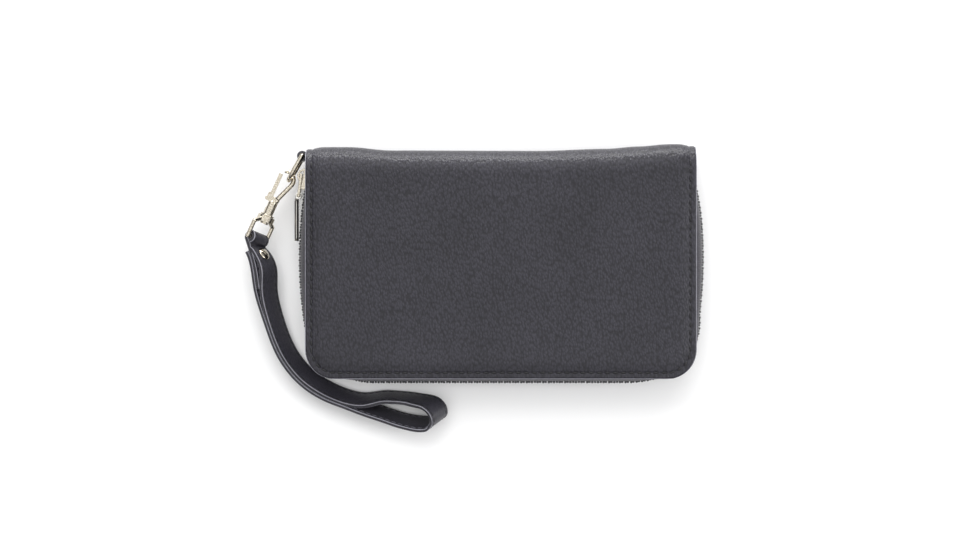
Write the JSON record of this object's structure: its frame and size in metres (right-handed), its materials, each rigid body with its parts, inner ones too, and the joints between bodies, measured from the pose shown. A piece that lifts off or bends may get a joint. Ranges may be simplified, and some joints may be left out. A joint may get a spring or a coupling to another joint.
{
  "type": "wristlet wallet",
  "caption": "Zip-around wristlet wallet lying flat, with card slots, coin pocket, D-ring, swivel snap hook and a folded wrist strap.",
  "frame": {"origin": "centre of the back cover's outer face, on which the wallet lies", "axes": "+X along the spine away from the wrist strap, +Y from the mouth to the spine, +Z out of the front cover"},
  "size_m": [0.217, 0.1351, 0.025],
  "materials": {
    "leather": "pebbled semi-matt leather",
    "strap_lining": "smooth split leather",
    "board": "bonded fibre board",
    "lining": "fine twill lining",
    "slot_leather": "thin skived leather",
    "zip_tape": "woven tape",
    "zip_teeth": "moulded",
    "nickel": "polished pale nickel plate"
  },
  "bodies": {
    "back_half": {"back_cover": "leather", "back_stiffener": "board", "back_lining": "lining", "back_slip_pocket": "lining", "back_card_slot_1": "slot_leather", "back_card_slot_2": "slot_leather", "back_card_slot_3": "slot_leather", "back_card_slot_4": "slot_leather", "spine_back": "leather", "gusset_left": "lining", "gusset_right": "lining", "zip_tape_back": "zip_tape", "zip_teeth_back": "zip_teeth", "zip_stop": "nickel", "ring_tab": "leather"},
    "front_half": {"front_cover": "leather", "front_stiffener": "board", "front_lining": "lining", "front_slip_pocket": "lining", "front_card_slot_1": "slot_leather", "front_card_slot_2": "slot_leather", "front_card_slot_3": "slot_leather", "front_card_slot_4": "slot_leather", "spine_front": "leather", "zip_tape_front": "zip_tape", "zip_teeth_front": "zip_teeth"},
    "coin_pocket": {"coin_pocket_back": "lining", "coin_pocket_front": "lining", "coin_pocket_edge": "lining", "coin_zip_tape": "zip_tape", "coin_zip_teeth": "nickel"},
    "coin_slider": {"coin_zip_slider": "nickel"},
    "coin_pull": {"coin_zip_pull": "nickel"},
    "zip_slider": {"zip_slider": "nickel"},
    "pull_link": {"zip_pull_link": "nickel"},
    "pull_bar": {"zip_pull_bar": "nickel"},
    "d_ring": {"d_ring": "nickel"},
    "snap_hook": {"snap_hook": "nickel", "gate_pin": "nickel", "swivel_rivet_head": "nickel"},
    "snap_gate": {"snap_gate": "nickel"},
    "swivel": {"swivel_ring": "nickel"},
    "strap": {"strap_outer": "leather", "strap_backing": "strap_lining", "strap_rivet_cap": "nickel", "strap_rivet_back": "nickel"}
  },
  "joints": [
    {"name": "cover_open", "type": "hinge", "parent": "back_half", "child": "front_half", "pos_m": [0, 0.0545, 0.0125], "axis": [-1, 0, 0], "range_deg": [0, 90], "deforming": ["gusset_left", "gusset_right", "zip_tape_front", "zip_teeth_front"]},
    {"name": "coin_pocket_swing", "type": "hinge", "parent": "back_half", "child": "coin_pocket", "pos_m": [0, 0.0545, 0.0125], "axis": [-1, 0, 0], "range_deg": [0, 45], "deforming": ["gusset_left", "gusset_right"]},
    {"name": "zip_slider_travel", "type": "hinge", "parent": "back_half", "child": "zip_slider", "pos_m": [0.1115, 0.0025, 0.0125], "axis": [0, 0, 1], "range_deg": [0, 16], "deforming": ["zip_teeth_back", "zip_teeth_front"]},
    {"name": "pull_link_swing", "type": "hinge", "parent": "zip_slider", "child": "pull_link", "pos_m": [-0.0945, 0.04174, 0.0125], "axis": [0, 0, -1], "range_deg": [0, 20]},
    {"name": "pull_bar_swing", "type": "hinge", "parent": "pull_link", "child": "pull_bar", "pos_m": [-0.0957, 0.03201, 0.0125], "axis": [0, 0, -1], "range_deg": [0, 32]},
    {"name": "coin_zip_slide", "type": "slide", "parent": "coin_pocket", "child": "coin_slider", "axis": [-1, 0, 0], "range_m": [0, 0.138], "deforming": ["coin_zip_teeth"]},
    {"name": "coin_pull_swing", "type": "hinge", "parent": "coin_slider", "child": "coin_pull", "pos_m": [0.067, -0.04495, 0.0125], "axis": [0, 0, 1], "range_deg": [0, 150]},
    {"name": "d_ring_swing", "type": "hinge", "parent": "back_half", "child": "d_ring", "pos_m": [-0.0939, 0.0507, 0.0125], "axis": [0, 0, -1], "range_deg": [0, 50]},
    {"name": "hook_swing", "type": "hinge", "parent": "d_ring", "child": "snap_hook", "pos_m": [-0.10055, 0.03918, 0.0125], "axis": [0, 0, -1], "range_deg": [0, 38]},
    {"name": "gate_open", "type": "hinge", "parent": "snap_hook", "child": "snap_gate", "pos_m": [-0.10933, 0.03063, 0.0125], "axis": [0, 0, -1], "range_deg": [0, 12], "stiffness_Nm_per_rad": 0.003},
    {"name": "swivel_turn", "type": "hinge", "parent": "snap_hook", "child": "swivel", "pos_m": [-0.11144, 0.02105, 0.0125], "axis": [0.4099, 0.9121, 0], "continuous": true},
    {"name": "strap_swing", "type": "hinge", "parent": "swivel", "child": "strap", "pos_m": [-0.1157, 0.01157, 0.0125], "axis": [-0.4834, 0.2172, 0.848], "range_deg": [-60, 0]}
  ],
  "couplings": [
    {"joint": "coin_pocket_swing", "follows": "cover_open", "ratio": 0.5}
  ]
}
